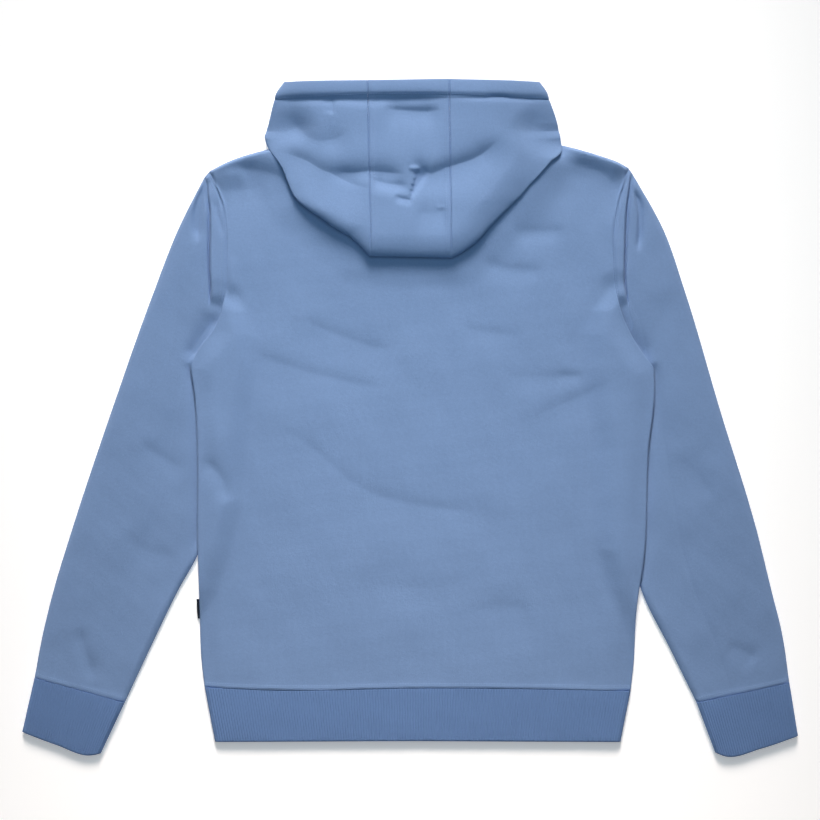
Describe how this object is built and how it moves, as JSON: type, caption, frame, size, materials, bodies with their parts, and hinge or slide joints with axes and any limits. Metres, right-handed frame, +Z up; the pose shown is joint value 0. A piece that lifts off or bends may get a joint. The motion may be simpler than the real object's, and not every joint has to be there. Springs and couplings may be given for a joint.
{
  "type": "hooded sweatshirt",
  "caption": "Hooded pullover sweatshirt laid flat with its back up, hood turned down over the back, set-in sleeves, rib cuffs and rib hem.",
  "frame": {"origin": "on the surface that the garment lies on, under the front panel, near the middle of the body", "axes": "+X towards the wearer's right, +Y from the hem to the hood, +Z up, away from the surface"},
  "size_m": [0.8934, 0.7761, 0.0216],
  "materials": {
    "fleece": "matte brushed knit",
    "rib": "matte rib knit",
    "tape": "smooth woven"
  },
  "bodies": {
    "root": {"back_panel": "fleece", "front_panel": "fleece", "sleeve_left": "fleece", "sleeve_right": "fleece", "cuff_left": "rib", "cuff_right": "rib", "hem_band": "rib", "hood_left_panel": "fleece", "hood_right_panel": "fleece", "hood_centre_panel": "fleece", "side_tab": "tape"}
  },
  "joints": []
}
